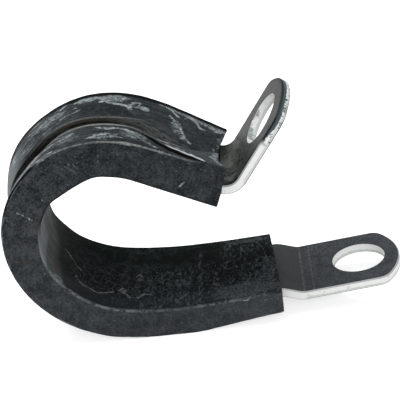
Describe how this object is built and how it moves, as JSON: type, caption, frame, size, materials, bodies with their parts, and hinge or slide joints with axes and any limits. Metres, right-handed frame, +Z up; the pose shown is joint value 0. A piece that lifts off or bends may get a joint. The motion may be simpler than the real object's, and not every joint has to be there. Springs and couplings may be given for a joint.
{
  "type": "p clip",
  "caption": "Rubber-lined P clip: a bent steel strip with a holed tab at each end and a rubber channel round its loop, which holds a cable or pipe against a surface.",
  "frame": {"origin": "the loop's axis, at the middle of the rubber's width", "axes": "+X towards the tabs, +Y along the loop's axis, +Z up as the clip lies on a table on the underside of its loop"},
  "size_m": [0.062, 0.0196, 0.0364],
  "materials": {
    "zinc_plated_steel": "zinc plated, dull dark faces, bright sheared edges",
    "black_rubber": "matt black rubber with streaks of white talc"
  },
  "bodies": {
    "root": {"steel_band": "zinc_plated_steel", "rubber_liner": "black_rubber"}
  },
  "joints": []
}
